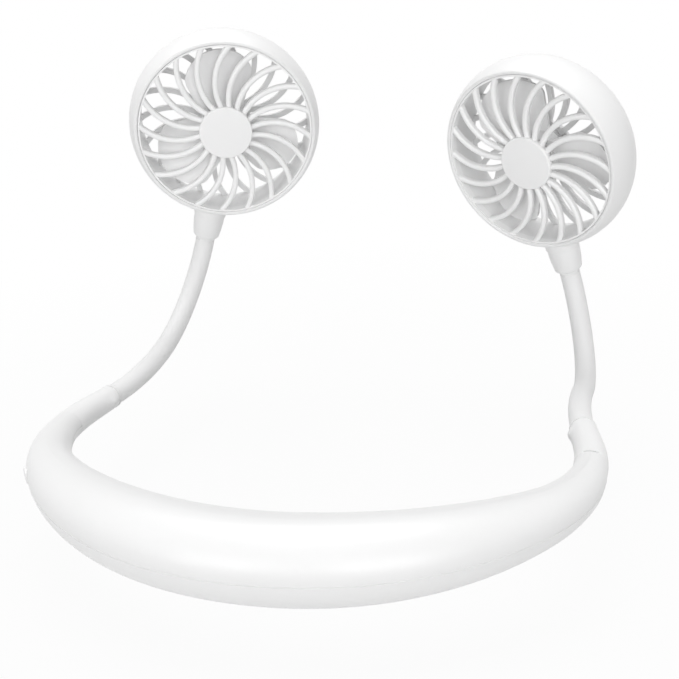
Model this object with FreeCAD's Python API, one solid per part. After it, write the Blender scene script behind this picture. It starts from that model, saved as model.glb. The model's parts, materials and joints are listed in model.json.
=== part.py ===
import FreeCAD, Part
import math
import os

# Electric neck fan: a C-shaped neckband with a fan head on a bendable gooseneck at each arm end.
# Millimetres. The origin is the middle of the neck space, level with the neckband's parting plane.
# +Z is up, +Y is the way the wearer faces and +X is the wearer's right.

V = FreeCAD.Vector
UP = V(0, 0, 1)

# Goosenecks: a sleeve over a bendable core, in spans that meet at ball joints
neck_radius = 4.2
sleeve_wall = 1.8
core_cover = 0.8
joint_clearance = 0.3
neck_insert = 7.0
neck_lead = 22.0
hinge_shares = (0.07, 0.36, 0.65, 0.93)
groove_drop = 1.2
groove_height = 0.5
groove_depth = 0.2

# Boots at the arm ends
boot_length = 14.0
boot_back = 14.0
boot_stations = 4
boot_wall = 0.7
boot_floor = 1.0
bead_height = 1.2
bead_groove = 0.3
lip_start = 0.0
lip_length = 4.5
lip_proud = 0.8
lip_angle = 110.0
slit_height = 1.0
slit_depth = 0.9
slit_angle = 58.0
slit_turn = 85.0

# Neckband
band_span = 190.0
corner_radius = 54.0
arm_radius = 84.0
back_angle = 46.2
corner_angle = 50.8
arm_angle = 3.5
arm_wall = 1.0
taper_power = 1.38
shell_wall = 1.8
end_wall = 6.0
seam_ease = 0.3
band_stations = 10

# Battery cells
cell_radius = 7.0
cell_length = 49.0
cell_gap = 17.0
cell_room = 3.0
cradle_thickness = 2.0
cradle_inset = 8.0

# Shell screws and their posts
screw_head_radius = 1.9
screw_head_height = 1.4
screw_shank_radius = 0.9
screw_length = 8.0
screw_hole_clearance = 0.3
post_wall = 1.2
inner_post_gap = 2.4
outer_post_gap = 7.3

# Power button, switch, board, indicator and charging socket
button_radius = 2.8
button_proud = 0.8
button_travel = 0.8
button_clearance = 0.3
button_stem_radius = 1.4
button_flange = 0.7
button_flange_height = 1.0
button_flange_gap = 0.45
switch_width = 4.0
switch_height = 1.5
plunger_radius = 1.0
plunger_height = 0.8
switch_gap = 0.3
board_gap = 4.8
board_length = 18.0
board_width = 9.0
board_thickness = 1.2
rest_thickness = 1.6
rest_grip = 1.0
rest_inset = 3.0
lens_offset = 8.5
lens_radius = 1.0
usb_gap = 3.4
usb_length = 9.0
usb_width = 3.2
usb_depth = 7.2
usb_wall = 0.3
usb_recess = 0.4
usb_clearance = 0.1

# Motor and impeller
motor_radius = 8.0
motor_length = 9.2
motor_boss_radius = 2.6
motor_boss_height = 0.7
motor_seat_wall = 1.2
motor_seat_height = 2.0
motor_clearance = 0.05
motor_screw_radius = 0.8
motor_screw_head = 1.5
motor_screw_head_height = 1.0
motor_screw_length = 4.0
motor_screw_circle = 5.0
shaft_radius = 1.0
shaft_clearance = 0.04
shaft_floor = 2.0
cup_clearance = 0.7
cup_gap = 1.1
impeller_wall = 1.1
impeller_gap = 0.5
impeller_front_gap = 1.4
impeller_boss_radius = 2.4
blade_count = 3
blade_phase = 107.0
blade_clearance = 3.0
blade_half_width = 14.0
blade_root_half_width = 6.0
blade_tip_height = 11.0
blade_corner = 5.0
blade_camber = 1.2
blade_thickness = 1.2
blade_root_pitch = 26.0
blade_tip_pitch = 12.0
blade_overlap = 0.5

# Barrel and grilles
head_radius = 40.0
bulge_height = 2.6
barrel_wall = 1.3
rim_edge = 0.6
ring_recess = 0.5
ring_depth = 3.2
ring_wall = 0.7
ring_clearance = 0.1
vane_count = 20
vane_width = 2.2
vane_depth = 2.3
vane_crown = 0.8
vane_hook_angle = 11.0
vane_bow_angle = 2.5
vane_bow_share = 0.5
vane_recess = 0.6
hub_radius = 11.0
hub_step = 0.5
hub_thickness = 2.0
cap_thickness = 1.4
cap_bevel = 0.4
spigot_radius = 6.0
spigot_depth = 1.0

# Collars
collar_wall = 0.8
collar_flare = 1.6
collar_flange = 0.5
collar_flange_drop = 1.6
collar_reach = 12.5
collar_round = 1.2

# Fan heads: inset from the band's side, forward reach and height of each centre,
# then inward turn, downward tilt and outward lean of the collar
left_head_inset = 34.2
left_head_forward = 95.6
left_head_height = 96.6
right_head_inset = 25.9
right_head_forward = 104.8
right_head_height = 82.2
head_turns = {"left": 21.6, "right": 26.9}
head_tilts = {"left": 12.5, "right": 14.8}
head_leans = {"left": 14.7, "right": 9.7}
side_signs = {"left": -1, "right": 1}

# One overrun for all cuts, and how close an edge lies to the plane it is picked by
overrun = 1.0
edge_tolerance = 0.01


def polygon(points):
    return Part.makePolygon(list(points) + [points[0]])


def revolved(points):
    """A full turn about Z of a closed outline in the XZ plane."""
    return Part.Face(polygon(points)).revolve(V(), UP, 360)


def rod(start, direction, radius, length):
    return Part.makeCylinder(radius, length, start, direction)


def disc(radius, low, high):
    """A round disc about Z between two heights."""
    return rod(V(0, 0, low), UP, radius, high - low)


def bar(centre, long_axis, wide_axis, size):
    """A box about a centre: size runs along the long axis, the wide axis and their normal."""
    thick_axis = long_axis.cross(wide_axis)
    box = Part.makeBox(*size)
    box.translate(V(*size) * -0.5)
    turn = FreeCAD.Rotation(long_axis, wide_axis, thick_axis, "XYZ")
    box.Placement = FreeCAD.Placement(centre, turn).multiply(box.Placement)
    return box


def set_on(shape, origin, front, side):
    """A piece modelled along +Z, moved so that +Z is the front and +X the side."""
    turn = FreeCAD.Rotation(side, front.cross(side), front, "XYZ")
    moved = shape.copy()
    moved.Placement = FreeCAD.Placement(origin, turn).multiply(moved.Placement)
    return moved


# Neckband path: a back arc, a corner arc and a gentle arm arc on each side
back_sine = math.sin(math.radians(back_angle))
back_radius = (band_span / 2 - corner_radius * (1 - back_sine)) / back_sine
path_arcs = ((back_radius, back_angle), (corner_radius, corner_angle), (arm_radius, arm_angle))
half_length = sum(radius * math.radians(angle) for radius, angle in path_arcs)
back_place = -back_radius + (back_radius - corner_radius) * math.cos(math.radians(back_angle))

# The back is as thick as a straight cell in the curved band needs, the ends as the goosenecks need
cell_sag = back_radius - math.sqrt(back_radius ** 2 - (cell_length / 2) ** 2)
band_back_radius = cell_radius + cell_sag / 2 + cell_room + shell_wall
band_end_radius = neck_radius + arm_wall
shell_end = half_length - boot_back

# Places along the band, measured from the middle of the back
post_radius = screw_head_radius + screw_hole_clearance + post_wall
cell_middle = (cell_gap + cell_length) / 2
inner_post = cell_gap / 2 + cell_length + inner_post_gap + post_radius
usb_middle = inner_post + post_radius + usb_gap + usb_length / 2
board_middle = usb_middle + usb_length / 2 + board_gap + board_length / 2
outer_post = board_middle + board_length / 2 + outer_post_gap + post_radius


def band_at(distance):
    """Centre, direction towards the arm end, outward direction and radius of the band's section."""
    side = -1 if distance < 0 else 1
    rest = abs(distance)
    heading = 0.0
    place = V(0, back_place, 0)
    for radius, angle in path_arcs:
        step = min(rest / radius, math.radians(angle))
        middle = place + V(-math.sin(heading), math.cos(heading), 0) * radius
        heading += step
        place = middle + V(math.sin(heading), -math.cos(heading), 0) * radius
        rest -= step * radius
    thick_share = (1 + math.cos(math.pi * abs(distance / half_length) ** taper_power)) / 2
    section = band_end_radius + (band_back_radius - band_end_radius) * thick_share
    along = V(side * math.cos(heading), math.sin(heading), 0)
    outward = V(side * math.sin(heading), -math.cos(heading), 0)
    return V(side * place.x, place.y, 0), along, outward, section


def half_section(distance, inset, rise, ease):
    """Half-round section of the band above or below the parting plane, its edges eased there."""
    place, along, outward, section = band_at(distance)
    radius = section - inset
    start = math.asin(ease / radius)
    quarter = (start + math.pi / 2) / 2
    turns = (start, quarter, math.pi / 2, math.pi - quarter, math.pi - start)
    rim = [place + (outward * math.cos(turn) + rise * math.sin(turn)) * radius for turn in turns]
    foot = [rim[4], place - outward * (radius - ease), place + outward * (radius - ease), rim[0]]
    if ease == 0:
        foot = [rim[4], rim[0]]
    edges = [Part.Arc(*rim[0:3]).toShape(), Part.Arc(*rim[2:5]).toShape()]
    return Part.Wire(edges + [Part.makeLine(*ends) for ends in zip(foot, foot[1:])])


def half_band(inset, rise, reach, ease):
    """Half of the crescent, from one arm to the other, up to a reach along each arm."""
    stations = [reach * k / band_stations for k in range(-band_stations, band_stations + 1)]
    return Part.makeLoft([half_section(place, inset, rise, ease) for place in stations], True, False)


def shell_room(rise):
    return half_band(shell_wall, rise, shell_end - end_wall, 0)


def screw_places():
    """Middle of the band at each shell screw, and the skin's radius there."""
    for distance in (-outer_post, -inner_post, 0, inner_post, outer_post):
        place, along, outward, section = band_at(distance)
        yield place, section


def posts(room, rise):
    return [rod(place, rise, post_radius, section).common(room) for place, section in screw_places()]


def cell_frames():
    """Middle of each cell, set in by half its sag, with its direction and the band's radius."""
    for distance in (-cell_middle, cell_middle):
        place, along, outward, section = band_at(distance)
        yield place - outward * cell_sag / 2, along, outward, section


def battery_cells():
    """Two round cells that lie along the back of the band."""
    cells = [rod(middle - along * cell_length / 2, along, cell_radius, cell_length)
             for middle, along, outward, section in cell_frames()]
    return Part.makeCompound(cells)


def cradles(room):
    """Ribs in the lower shell that hold the cells, two under each."""
    ribs = []
    for middle, along, outward, section in cell_frames():
        for end in (-1, 1):
            foot = middle + along * end * (cell_length / 2 - cradle_inset) - UP * section / 2
            ribs.append(bar(foot, along, outward, (cradle_thickness, section * 2, section)).common(room))
    return [rib.cut(battery_cells()) for rib in ribs]


def board_frame():
    """The button, switch and board share this place on the left arm."""
    return band_at(-board_middle)


def control_board():
    place, along, outward, section = board_frame()
    size = (board_length, board_width, board_thickness)
    return bar(place - outward * board_thickness / 2, along, along.cross(outward) * -1, size)


def board_rests(room):
    """Slotted ribs in the lower shell that hold the board's lower edge."""
    place, along, outward, section = board_frame()
    rests = []
    for end in (-1, 1):
        middle = place + along * end * (board_length / 2 - rest_inset) - outward * board_thickness / 2
        top = board_width / 2 - rest_grip
        size = (rest_thickness, board_thickness + 2 * rest_grip, section)
        rests.append(bar(middle - UP * (top + section / 2), along, outward, size).common(room))
    return [rest.cut(control_board()) for rest in rests]


def side_holes():
    """Holes through the left arm's outer wall for the button and the indicator."""
    place, along, outward, section = board_frame()
    hole = rod(place, outward, button_radius + button_clearance, section + overrun)
    lens, outward, section = lens_place()
    return [hole, rod(lens, outward, lens_radius, section + overrun)]


def lens_place():
    place, along, outward, section = band_at(-board_middle - lens_offset)
    return place, outward, section


def usb_slot():
    """Slot through the underside for the socket."""
    place, along, outward, section = band_at(-usb_middle)
    size = (usb_length + 2 * usb_clearance, usb_width + 2 * usb_clearance, section)
    return bar(place - UP * (section + usb_depth) / 2, along, outward, size)


def upper_shell():
    room = shell_room(UP)
    shell = half_band(0, UP, shell_end, seam_ease).cut(room).fuse(posts(room, UP))
    bites = [rod(place - UP * overrun, UP, screw_shank_radius, screw_length / 2 + overrun)
             for place, section in screw_places()]
    return shell.cut(bites + side_holes())


def lower_shell():
    room = shell_room(-UP)
    shell = half_band(0, -UP, shell_end, seam_ease).cut(room)
    shell = shell.fuse(posts(room, -UP) + cradles(room) + board_rests(room))
    hole = screw_shank_radius + screw_hole_clearance
    head = screw_head_radius + screw_hole_clearance
    cuts = side_holes() + [usb_slot()]
    for place, section in screw_places():
        cuts.append(rod(place + UP * overrun, -UP, hole, section + overrun))
        cuts.append(rod(place - UP * (screw_length / 2), -UP, head, section))
    return shell.cut(cuts)


def shell_screws():
    screws = []
    for place, section in screw_places():
        head = place - UP * (screw_length / 2)
        shank = rod(head, UP, screw_shank_radius, screw_length)
        screws.append(shank.fuse(rod(head, -UP, screw_head_radius, screw_head_height)))
    return Part.makeCompound(screws)


def power_button():
    """A round button in the outer wall, with a flange behind the wall and a stem to the switch."""
    place, along, outward, section = board_frame()
    flange_radius = button_radius + button_flange
    flange_top = math.sqrt((section - shell_wall) ** 2 - flange_radius ** 2) - button_flange_gap
    flange_low = flange_top - button_flange_height
    foot = switch_height + plunger_height + switch_gap + button_travel
    cap = rod(place + outward * flange_low, outward, button_radius, section + button_proud - flange_low)
    flange = rod(place + outward * flange_low, outward, flange_radius, button_flange_height)
    stem = rod(place + outward * foot, outward, button_stem_radius, flange_top - foot)
    return cap.fuse([flange, stem]).removeSplitter()


def tact_switch():
    place, along, outward, section = board_frame()
    size = (switch_width, switch_width, switch_height)
    body = bar(place + outward * switch_height / 2, along, along.cross(outward) * -1, size)
    return body.fuse(rod(place + outward * switch_height, outward, plunger_radius, plunger_height))


def indicator_lens():
    place, outward, section = lens_place()
    return rod(place + outward * (section - shell_wall), outward, lens_radius, shell_wall)


def usb_socket():
    """A thin-walled socket that stands in the underside's slot, open at the bottom."""
    place, along, outward, section = band_at(-usb_middle)
    middle = place - UP * (section - usb_recess - usb_depth / 2)
    outside = bar(middle, along, outward, (usb_length, usb_width, usb_depth))
    size = (usb_length - 2 * usb_wall, usb_width - 2 * usb_wall, usb_depth)
    return outside.cut(bar(middle - UP * usb_wall, along, outward, size))


class ArcPath:
    """An arc that leaves a start point along a direction and ends at another point."""

    def __init__(self, start, direction, end):
        chord = end - start
        side = chord - direction * chord.dot(direction)
        self.start = start
        self.direction = direction
        self.side = side.normalize()
        offset = chord.dot(self.side)
        self.radius = chord.dot(chord) / (2 * offset)
        self.angle = 2 * math.atan2(offset, chord.dot(direction))
        self.length = self.radius * self.angle

    def at(self, distance):
        """Point and direction after a distance along the arc."""
        turn = distance / self.radius
        ahead = self.direction * math.sin(turn) + self.side * (1 - math.cos(turn))
        return self.start + ahead * self.radius, self.direction * math.cos(turn) + self.side * math.sin(turn)

    def round_bar(self, radius, first, last):
        """A round bar along part of the arc."""
        start, direction = self.at(first)
        face = Part.Face(Part.Wire(Part.makeCircle(radius, start, direction)))
        centre = self.start + self.side * self.radius
        turn = math.degrees((last - first) / self.radius)
        return face.revolve(centre, self.direction.cross(self.side), turn)


def two_arcs(start, leaving, end, arriving, lead):
    """Two tangent arcs between two points with given directions, the first with a given tangent length."""
    corner = start + leaving * lead
    rest = end - corner
    tail = (rest.dot(rest) - lead ** 2) / (2 * (lead + rest.dot(arriving)))
    far_corner = end - arriving * tail
    middle = corner + (far_corner - corner) * (lead / (lead + tail))
    return ArcPath(start, leaving, middle), ArcPath(middle, (far_corner - corner).normalize(), end)


head_places = {
    "left": V(left_head_inset - band_span / 2, left_head_forward, left_head_height),
    "right": V(band_span / 2 - right_head_inset, right_head_forward, right_head_height),
}


class Head:
    """Directions of one fan head and the gooseneck that carries it."""

    def __init__(self, side):
        sign = side_signs[side]
        turn = math.radians(head_turns[side])
        tilt = math.radians(head_tilts[side])
        lean = math.radians(head_leans[side])
        level = math.cos(tilt)
        self.sign = sign
        self.centre = head_places[side]
        self.front = V(-sign * math.sin(turn) * level, -math.cos(turn) * level, -math.sin(tilt))
        across = UP.cross(self.front).normalize()
        upright = self.front.cross(across)
        self.up = upright * math.cos(lean) - across * sign * math.sin(lean)
        self.arm_end, self.along, self.outward, section = band_at(sign * half_length)
        self.boot_exit = self.arm_end + self.along * boot_length
        self.collar_end = self.centre - self.up * (head_radius + collar_reach)
        self.arcs = two_arcs(self.boot_exit, self.along, self.collar_end, self.up, neck_lead)
        self.neck_length = sum(arc.length for arc in self.arcs)

    def placed(self, shape):
        """A head piece, modelled with its front along +Z and its collar along -Y, put in place."""
        return set_on(shape, self.centre, self.front, self.up.cross(self.front))

    def neck_at(self, share):
        distance = share * self.neck_length
        first, last = self.arcs
        return first.at(distance) if distance <= first.length else last.at(distance - first.length)

    def neck_bars(self, radius, first_share, last_share):
        """Round bars along the gooseneck's centreline between two shares of its length."""
        bars = []
        base = 0.0
        for arc in self.arcs:
            first = max(first_share * self.neck_length - base, 0.0)
            last = min(last_share * self.neck_length - base, arc.length)
            if last > first:
                bars.append(arc.round_bar(radius, first, last))
            base += arc.length
        return bars

    def hinge(self, number):
        """Centre and turning axis of one bend: the first and third lift, the others swing."""
        place, direction = self.neck_at(hinge_shares[number])
        level = self.along.cross(UP)
        axis = level if number % 2 == 0 else level.cross(direction).normalize()
        return place, axis


def neck_tube(head, number, radius):
    """Round bar along one span, with the straight runs inside the boot and the collar."""
    first_share = hinge_shares[number - 1] if number > 0 else 0.0
    last_share = hinge_shares[number] if number < len(hinge_shares) else 1.0
    bars = head.neck_bars(radius, first_share, last_share)
    if number == 0:
        bars.append(rod(head.arm_end + head.along * boot_floor, head.along, radius, boot_length - boot_floor))
    if number == len(hinge_shares):
        bars.append(rod(head.collar_end, head.up, radius, neck_insert))
    return bars[0].fuse(bars[1:]) if len(bars) > 1 else bars[0]


def neck_core(head, number):
    """Bendable core of one span, covered by the sleeve at the socket where it starts."""
    core = neck_tube(head, number, neck_radius - sleeve_wall)
    if number == 0:
        return core
    place, direction = head.neck_at(hinge_shares[number - 1])
    return core.cut(Part.makeSphere(neck_radius + joint_clearance + core_cover, place, direction))


def sleeve_groove(head):
    """Shallow groove round the sleeve just below the collar."""
    low_share = 1 - (groove_drop + groove_height) / head.neck_length
    high_share = 1 - groove_drop / head.neck_length
    outer = head.neck_bars(neck_radius + overrun, low_share, high_share)[0]
    return outer.cut(head.neck_bars(neck_radius - groove_depth, low_share, high_share)[0])


def neck_sleeve(head, number):
    """Sleeve of one span: a socket where it starts and a ball where it ends."""
    sleeve = neck_tube(head, number, neck_radius)
    cuts = [neck_core(head, number)]
    if number < len(hinge_shares):
        place, direction = head.neck_at(hinge_shares[number])
        sleeve = sleeve.fuse(Part.makeSphere(neck_radius, place, direction, 0, 90, 360))
    else:
        cuts.append(sleeve_groove(head))
    if number > 0:
        place, direction = head.neck_at(hinge_shares[number - 1])
        cuts.append(Part.makeSphere(neck_radius + joint_clearance, place, direction))
    return sleeve.cut(cuts)


def boot_radius(height):
    """Radius of the boot's taper at a height above the arm's end."""
    return band_end_radius + (neck_radius + boot_wall - band_end_radius) * height / boot_length


def boot_lip():
    """Rounded lip on the side of the boot that faces the neck."""
    heights = (lip_start, lip_start + lip_length / 2, lip_start + lip_length)
    low, crown, high = [V(boot_radius(height) - boot_wall / 2, 0, height) for height in heights]
    crown.x += lip_proud + boot_wall / 2
    face = Part.Face(Part.Wire([Part.Arc(low, crown, high).toShape(), Part.makeLine(high, low)]))
    return face.revolve(V(), UP, lip_angle).rotated(V(), UP, 180 - lip_angle / 2)


def boot_slit(head):
    """Short open seam at the foot of the boot, on top of the arm."""
    place, along, outward, section = band_at(head.sign * shell_end)
    deep = section - slit_depth
    wide = section + overrun
    corners = [V(deep, 0, 0), V(wide, 0, 0), V(wide, 0, slit_height), V(deep, 0, slit_height)]
    start = -head.sign * slit_turn - slit_angle / 2
    slit = Part.Face(polygon(corners)).revolve(V(), UP, slit_angle).rotated(V(), UP, start)
    return set_on(slit, place, along, outward)


def boot_wrap(head):
    """The boot's curved foot, which carries on the arm from the end of the shells."""
    rings = []
    for step in range(boot_stations + 1):
        place, along, outward, section = band_at(head.sign * (shell_end + boot_back * step / boot_stations))
        rings.append(Part.Wire(Part.makeCircle(section, place, along)))
    return Part.makeLoft(rings, True, False)


def arm_boot(head):
    """Tapered boot that carries the gooseneck on the arm's end, with a bead where the sleeve leaves."""
    bead_low = boot_length - bead_height
    groove_low = bead_low - bead_groove
    groove = boot_radius(bead_low) - bead_groove
    boot = revolved([V(0, 0, 0), V(band_end_radius, 0, 0), V(boot_radius(groove_low), 0, groove_low),
                     V(groove, 0, groove_low), V(groove, 0, bead_low), V(boot_radius(bead_low), 0, bead_low),
                     V(boot_radius(boot_length), 0, boot_length), V(0, 0, boot_length)])
    boot = boot.fuse(boot_lip()).cut(disc(neck_radius, boot_floor, boot_length))
    boot = set_on(boot, head.arm_end, head.along, head.outward)
    return boot.fuse(boot_wrap(head)).removeSplitter().cut(boot_slit(head))


# Depths through a fan head, from the rear face to the front face, measured from the middle
head_depth = (hub_thickness + motor_length + motor_boss_height + impeller_gap + 2 * impeller_wall
              + impeller_front_gap + vane_depth + vane_recess)
front_face = head_depth / 2
ring_top = front_face - ring_recess
ring_seat = ring_top - ring_depth
vane_low = front_face - vane_recess - vane_depth
motor_low = hub_thickness - front_face
motor_top = motor_low + motor_length
hub_under = motor_top + motor_boss_height + impeller_gap
hub_front = hub_under + 2 * impeller_wall
cup_low = motor_low + motor_seat_height + cup_gap

# Radii through a fan head
head_edge_radius = head_radius - bulge_height
bulge_radius = (front_face ** 2 + bulge_height ** 2) / (2 * bulge_height)
barrel_bore = head_edge_radius - barrel_wall
ring_outer = barrel_bore - ring_clearance
ring_inner = ring_outer - ring_wall
blade_tip_radius = ring_inner - blade_clearance
impeller_hub_radius = motor_radius + cup_clearance + impeller_wall


def skin_arc(low, high):
    """Points of the barrel's bulging skin from a low to a high depth."""
    depths = (low, (low + high) / 2, high)
    rise = head_radius - bulge_radius
    return [V(rise + math.sqrt(bulge_radius ** 2 - depth ** 2), 0, depth) for depth in depths]


def barrel_ring(low, high, inside):
    """A full turn of the skin between two depths, closed by the points of an inside outline."""
    skin = skin_arc(low, high)
    corners = [skin[2]] + inside + [skin[0]]
    edges = [Part.Arc(*skin).toShape()] + [Part.makeLine(*ends) for ends in zip(corners, corners[1:])]
    return Part.Face(Part.Wire(edges)).revolve(V(), UP, 360)


def rounded_at(solid, depth):
    """A ring with the edges of its face at a depth rounded over."""
    edges = [edge for edge in solid.Edges if abs(edge.BoundBox.ZMin - depth) < edge_tolerance
             and abs(edge.BoundBox.ZMax - depth) < edge_tolerance]
    return solid.makeFillet(rim_edge, edges)


def polar(radius, degrees, height=0.0):
    angle = math.radians(degrees)
    return V(radius * math.cos(angle), radius * math.sin(angle), height)


def vane(reach):
    """One curved vane: a bar with a crowned front along an arc that hooks at the rim, cut at its reach."""
    inner = hub_radius - hub_step - vane_width / 2
    middle = inner + (reach - inner) * vane_bow_share
    points = [polar(inner, 0, vane_low), polar(middle, vane_bow_angle, vane_low),
              polar(reach, -vane_hook_angle, vane_low)]
    arc = Part.Arc(*points).toShape()
    centre = arc.Curve.Center
    side = (points[0] - centre).normalize() * (vane_width / 2)
    top = points[0] + UP * (vane_depth - vane_crown)
    crown = Part.Arc(top - side, points[0] + UP * vane_depth, top + side).toShape()
    foot = [top + side, points[0] + side, points[0] - side, top - side]
    face = Part.Face(Part.Wire([crown] + [Part.makeLine(*ends) for ends in zip(foot, foot[1:])]))
    sweep = arc.LastParameter - arc.FirstParameter + vane_width / arc.Curve.Radius
    swept = face.revolve(centre, arc.Curve.Axis, math.degrees(sweep))
    return swept.common(disc(reach, vane_low - overrun, front_face))


def vanes(reach):
    first = vane(reach)
    return [first.rotated(V(), UP, 360 * k / vane_count) for k in range(vane_count)]


def front_grille():
    """Ring that sits in the barrel's mouth, with curved vanes and a hub."""
    ring = disc(ring_outer, ring_seat, ring_top).cut(disc(ring_inner, ring_seat, ring_top))
    hub_top = front_face - vane_recess
    hub = disc(hub_radius - hub_step, hub_top - hub_thickness, hub_top)
    joined = ring.fuse([hub] + vanes(ring_inner + ring_wall / 2))
    return joined.cut(disc(spigot_radius, hub_top - spigot_depth, front_face))


def hub_cap():
    """Plain disc with a bevelled edge and a spigot in the hub."""
    low = front_face - vane_recess
    top = low + cap_thickness
    cap = revolved([V(0, 0, low), V(hub_radius, 0, low), V(hub_radius, 0, top - cap_bevel),
                    V(hub_radius - cap_bevel, 0, top), V(0, 0, top)])
    return cap.fuse(disc(spigot_radius, low - spigot_depth, low))


def motor_screw_places():
    return [polar(motor_screw_circle, 0), polar(motor_screw_circle, 180)]


def fan_housing():
    """Barrel with a seat for the front ring, the rear grille, which faces back, and the motor's seat."""
    inside = [V(barrel_bore, 0, front_face), V(barrel_bore, 0, ring_seat), V(ring_inner, 0, ring_seat),
              V(ring_inner, 0, -front_face)]
    barrel = barrel_ring(-front_face, front_face, inside)
    barrel = rounded_at(rounded_at(barrel, front_face), -front_face)
    bars = [one.rotated(V(), V(0, 1, 0), 180) for one in vanes((ring_inner + head_edge_radius) / 2)]
    hub = disc(hub_radius, -front_face, motor_low)
    seat_inner = motor_radius + motor_clearance
    seat_top = motor_low + motor_seat_height
    seat = disc(seat_inner + motor_seat_wall, motor_low, seat_top).cut(disc(seat_inner, motor_low, seat_top))
    joined = barrel.fuse(bars + [hub, seat])
    holes = [rod(place - UP * front_face, UP, motor_screw_radius, hub_thickness)
             for place in motor_screw_places()]
    return joined.cut(holes)


def motor_can():
    can = disc(motor_radius, motor_low, motor_top)
    can = can.fuse(disc(motor_boss_radius, motor_top, motor_top + motor_boss_height))
    bore = disc(shaft_radius + shaft_clearance, motor_low + shaft_floor, hub_under)
    pilots = [rod(place + UP * motor_low, UP, motor_screw_radius, motor_screw_length - hub_thickness)
              for place in motor_screw_places()]
    return can.cut([bore] + pilots)


def motor_screws():
    screws = []
    for place in motor_screw_places():
        back = place - UP * front_face
        shank = rod(back, UP, motor_screw_radius, motor_screw_length)
        screws.append(shank.fuse(rod(back, -UP, motor_screw_head, motor_screw_head_height)))
    return Part.makeCompound(screws)


def motor_shaft():
    return disc(shaft_radius, motor_low + shaft_floor + impeller_gap, hub_under + impeller_wall)


def blade_section(radius, pitch, edge, middle):
    """Cambered section of a blade at a radius."""
    along = V(0, math.cos(pitch), math.sin(pitch))
    across = V(0, -math.sin(pitch), math.cos(pitch))
    rims = []
    for face in (-1, 1):
        place = V(radius, 0, middle) + across * face * blade_thickness / 2
        foot = place - across * blade_camber / 2
        rims.append([foot - along * edge, place + across * blade_camber / 2, foot + along * edge])
    low, high = rims
    edges = [Part.Arc(*low).toShape(), Part.makeLine(low[2], high[2]),
             Part.Arc(*reversed(high)).toShape(), Part.makeLine(high[0], low[0])]
    return Part.Wire(edges)


def blade():
    """One twisted, cambered paddle with a round tip."""
    root_radius = impeller_hub_radius - blade_overlap
    end_radius = blade_tip_radius + overrun
    edge = blade_half_width / math.cos(math.radians(blade_root_pitch)) + blade_thickness
    middle = (hub_front + cup_low) / 2
    sections = []
    for share in (0.0, 0.5, 1.0):
        radius = impeller_hub_radius / 2 + (end_radius - impeller_hub_radius / 2) * share
        pitch = math.radians(blade_root_pitch + (blade_tip_pitch - blade_root_pitch) * share)
        sections.append(blade_section(radius, pitch, edge, middle))
    twisted = Part.makeLoft(sections, True, False)
    low = middle - head_depth / 2
    wide = blade_tip_radius - blade_tip_height
    rim = [V(wide, -blade_half_width, low), V(blade_tip_radius, 0, low), V(wide, blade_half_width, low)]
    stem = [rim[2], V(0, blade_root_half_width, low), V(0, -blade_root_half_width, low), rim[0]]
    edges = [Part.Arc(*rim).toShape()] + [Part.makeLine(*ends) for ends in zip(stem, stem[1:])]
    paddle = Part.Face(Part.Wire(edges)).extrude(UP * head_depth)
    corners = [line for line in paddle.Edges if abs(line.BoundBox.XMin - wide) < edge_tolerance
               and abs(line.BoundBox.XMax - wide) < edge_tolerance]
    paddle = paddle.makeFillet(blade_corner, corners)
    return twisted.common(paddle).cut(disc(root_radius, low, low + head_depth))


def impeller():
    """Cup that covers the motor, with a boss on the shaft and paddle blades round it."""
    boss_top = hub_under + impeller_wall
    cup = disc(impeller_hub_radius, cup_low, hub_front)
    cup = cup.cut(disc(impeller_hub_radius - impeller_wall, cup_low, boss_top))
    cup = cup.fuse(disc(impeller_boss_radius, hub_under, boss_top))
    cup = cup.cut(disc(shaft_radius, hub_under, boss_top))
    first = blade()
    turns = [blade_phase + 360 * k / blade_count for k in range(blade_count)]
    return cup.fuse([first.rotated(V(), UP, turn) for turn in turns])


def head_collar():
    """Tapered cup with a flange at the barrel, modelled along -Y, that takes the gooseneck's end."""
    bottom_radius = neck_radius + collar_wall
    top_radius = bottom_radius + collar_flare
    flange = top_radius + collar_flange
    start = head_radius - flange
    step = head_radius + collar_flange_drop
    end = head_radius + collar_reach
    cup = revolved([V(0, 0, start), V(flange, 0, start), V(flange, 0, step), V(top_radius, 0, step),
                    V(bottom_radius, 0, end), V(0, 0, end)])
    rim = [edge for edge in cup.Edges if abs(edge.BoundBox.ZMin - end) < edge_tolerance]
    cup = cup.makeFillet(min(collar_round, collar_wall), rim)
    cup = set_on(cup.cut(disc(neck_radius, end - neck_insert, end)), V(), V(0, -1, 0), V(1, 0, 0))
    return cup.cut(barrel_ring(-front_face, front_face, [V(0, 0, front_face), V(0, 0, -front_face)]))


span_names = ("root", "lower", "middle", "upper", "top")
nodes = {
    "neckband_upper_shell": upper_shell(),
    "neckband_lower_shell": lower_shell(),
    "battery_cells": battery_cells(),
    "shell_screws": shell_screws(),
    "power_button": power_button(),
    "tact_switch": tact_switch(),
    "control_board": control_board(),
    "indicator_lens": indicator_lens(),
    "usb_socket": usb_socket(),
}
head_pieces = {
    "head_collar": head_collar(),
    "fan_housing": fan_housing(),
    "front_grille": front_grille(),
    "hub_cap": hub_cap(),
    "motor_can": motor_can(),
    "motor_screws": motor_screws(),
    "motor_shaft": motor_shaft(),
    "impeller": impeller(),
}
heads = {side: Head(side) for side in side_signs}
for side, head in heads.items():
    nodes[side + "_arm_boot"] = arm_boot(head)
    for number, name in enumerate(span_names):
        nodes[side + "_gooseneck_sleeve_" + name] = neck_sleeve(head, number)
        nodes[side + "_gooseneck_core_" + name] = neck_core(head, number)
    for name, piece in head_pieces.items():
        nodes[side + "_" + name] = head.placed(piece)

os.makedirs("parts", exist_ok=True)
for name, shape in nodes.items():
    shape.exportStep("parts/" + name + ".step")
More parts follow.
